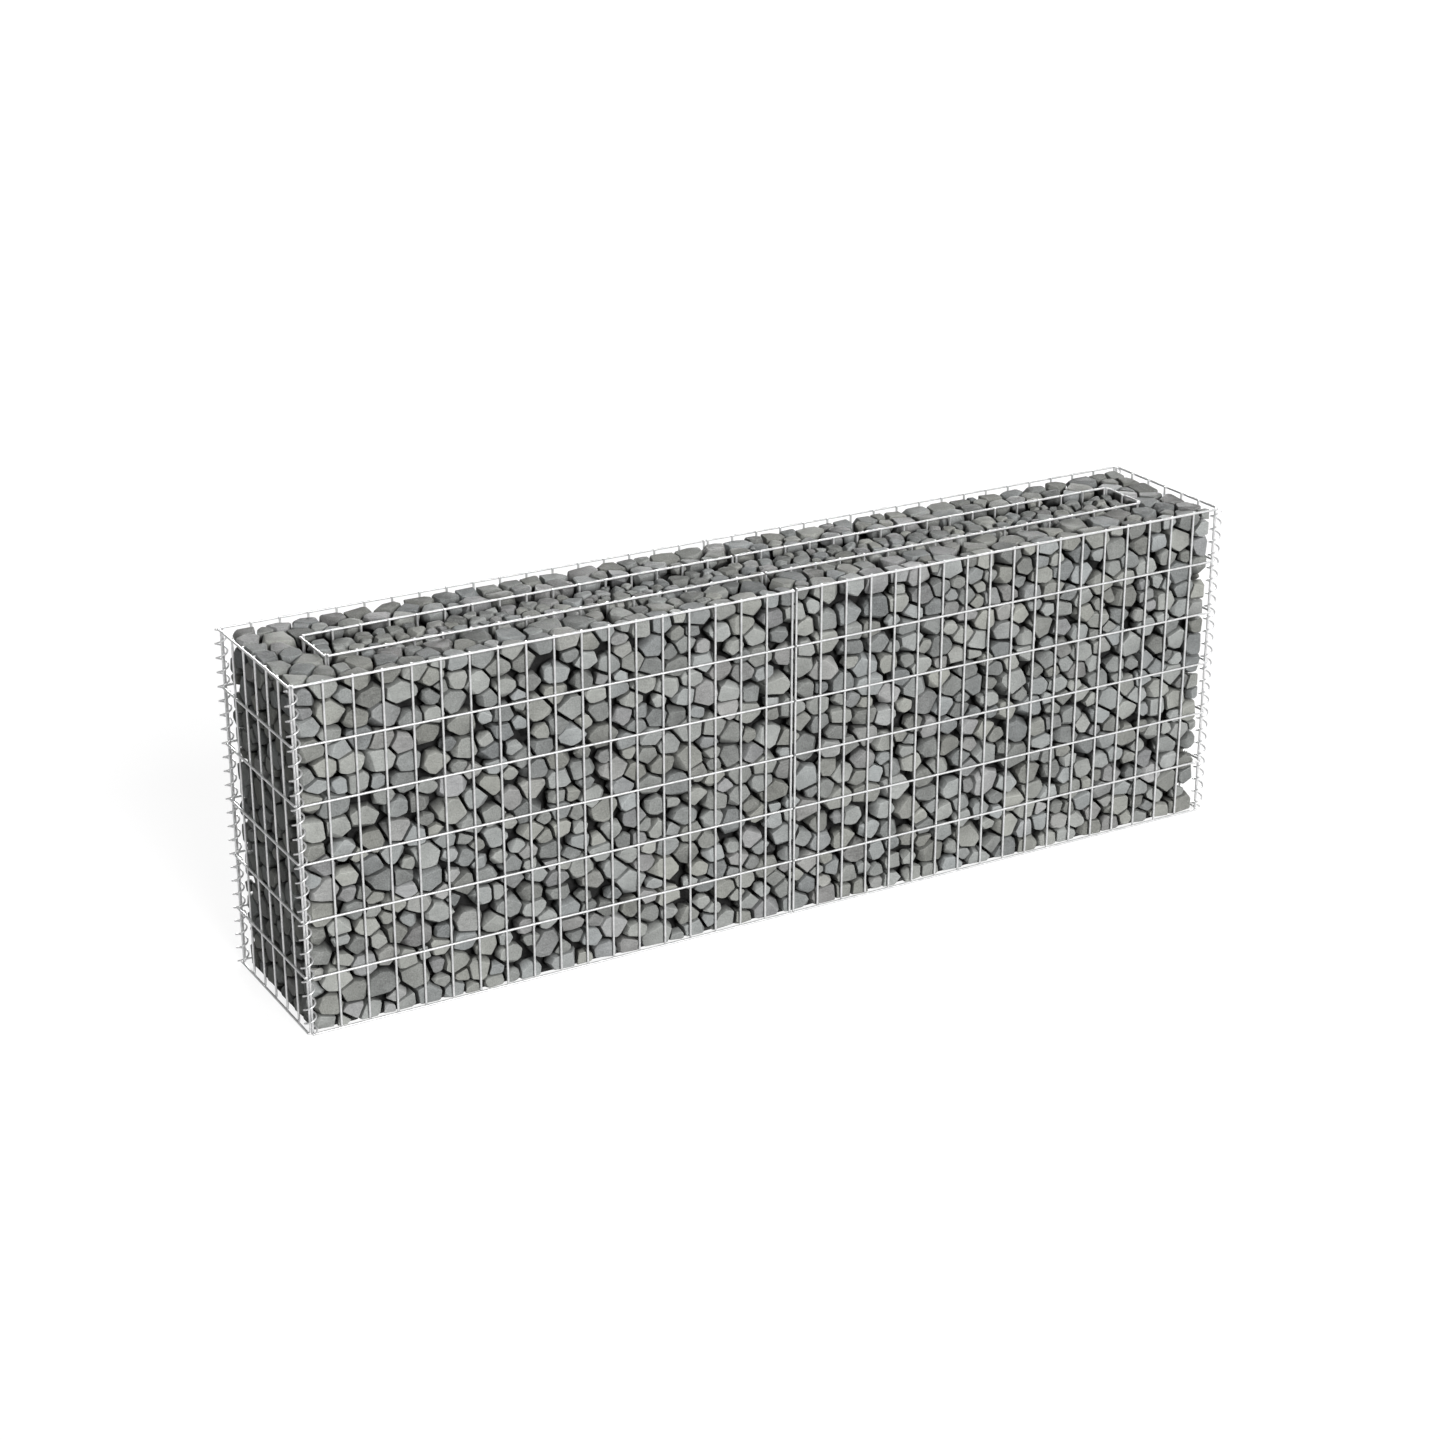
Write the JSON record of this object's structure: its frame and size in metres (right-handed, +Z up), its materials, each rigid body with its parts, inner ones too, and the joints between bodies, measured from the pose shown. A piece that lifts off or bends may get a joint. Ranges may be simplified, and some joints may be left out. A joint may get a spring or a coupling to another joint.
{
  "type": "gabion raised bed",
  "caption": "Free-standing raised planting bed: welded wire panels laced by corner spirals hold a wall of angular grey stones round a soil-filled trough.",
  "frame": {"origin": "middle of the footprint, on the ground", "axes": "+X along the bed, +Y to its back, +Z up"},
  "size_m": [1.822, 0.322, 0.6],
  "materials": {
    "galvanised_wire": "dull zinc coating",
    "spiral_wire": "dull zinc coating",
    "wall_stone": "broken rock, dull",
    "potting_soil": "dark damp soil",
    "top_gravel": "broken rock, dull"
  },
  "bodies": {
    "root": {"front_mesh_left": "galvanised_wire", "front_mesh_right": "galvanised_wire", "back_mesh_left": "galvanised_wire", "back_mesh_right": "galvanised_wire", "end_mesh_left": "galvanised_wire", "end_mesh_right": "galvanised_wire", "inner_front_mesh_left": "galvanised_wire", "inner_front_mesh_right": "galvanised_wire", "inner_back_mesh_left": "galvanised_wire", "inner_back_mesh_right": "galvanised_wire", "inner_end_mesh_left": "galvanised_wire", "inner_end_mesh_right": "galvanised_wire", "corner_spiral_front_right": "spiral_wire", "corner_spiral_back_right": "spiral_wire", "corner_spiral_back_left": "spiral_wire", "corner_spiral_front_left": "spiral_wire", "front_stones_bay_1": "wall_stone", "front_stones_bay_2": "wall_stone", "front_stones_bay_3": "wall_stone", "front_stones_bay_4": "wall_stone", "back_stones_bay_1": "wall_stone", "back_stones_bay_2": "wall_stone", "back_stones_bay_3": "wall_stone", "back_stones_bay_4": "wall_stone", "end_stones_left": "wall_stone", "end_stones_right": "wall_stone", "planting_soil_left": "potting_soil", "planting_soil_right": "potting_soil", "gravel_mulch_left": "top_gravel", "gravel_mulch_right": "top_gravel"}
  },
  "joints": []
}
